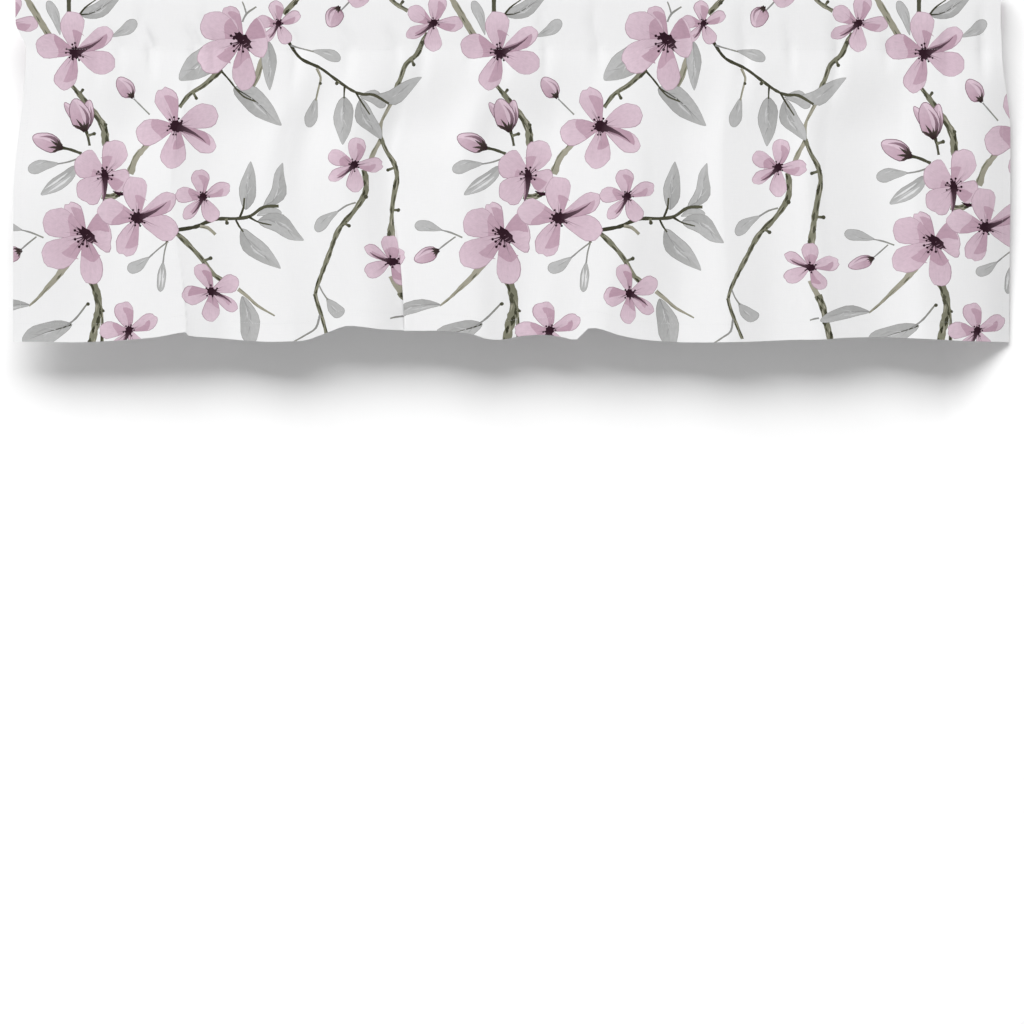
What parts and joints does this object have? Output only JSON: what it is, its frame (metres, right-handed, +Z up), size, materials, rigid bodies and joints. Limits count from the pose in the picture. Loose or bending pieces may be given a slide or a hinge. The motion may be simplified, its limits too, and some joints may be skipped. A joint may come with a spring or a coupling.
{
  "type": "gathered window valance with a rod pocket",
  "caption": "Short printed cloth valance that hangs in soft uneven folds below a sewn rod pocket, with narrow turned hems.",
  "frame": {"origin": "middle of the top edge of the rod pocket, where it hangs over a rod", "axes": "+X to the right along the rod as seen from the room, +Y towards the window, +Z up; the printed face looks along -Y"},
  "size_m": [1.2862, 0.0388, 0.457],
  "materials": {
    "printed_cloth": "matt white plain-woven polyester with a dusty pink, grey and olive blossom-branch print"
  },
  "bodies": {
    "root": {"rod_pocket": "printed_cloth", "valance_panel": "printed_cloth"}
  },
  "joints": []
}
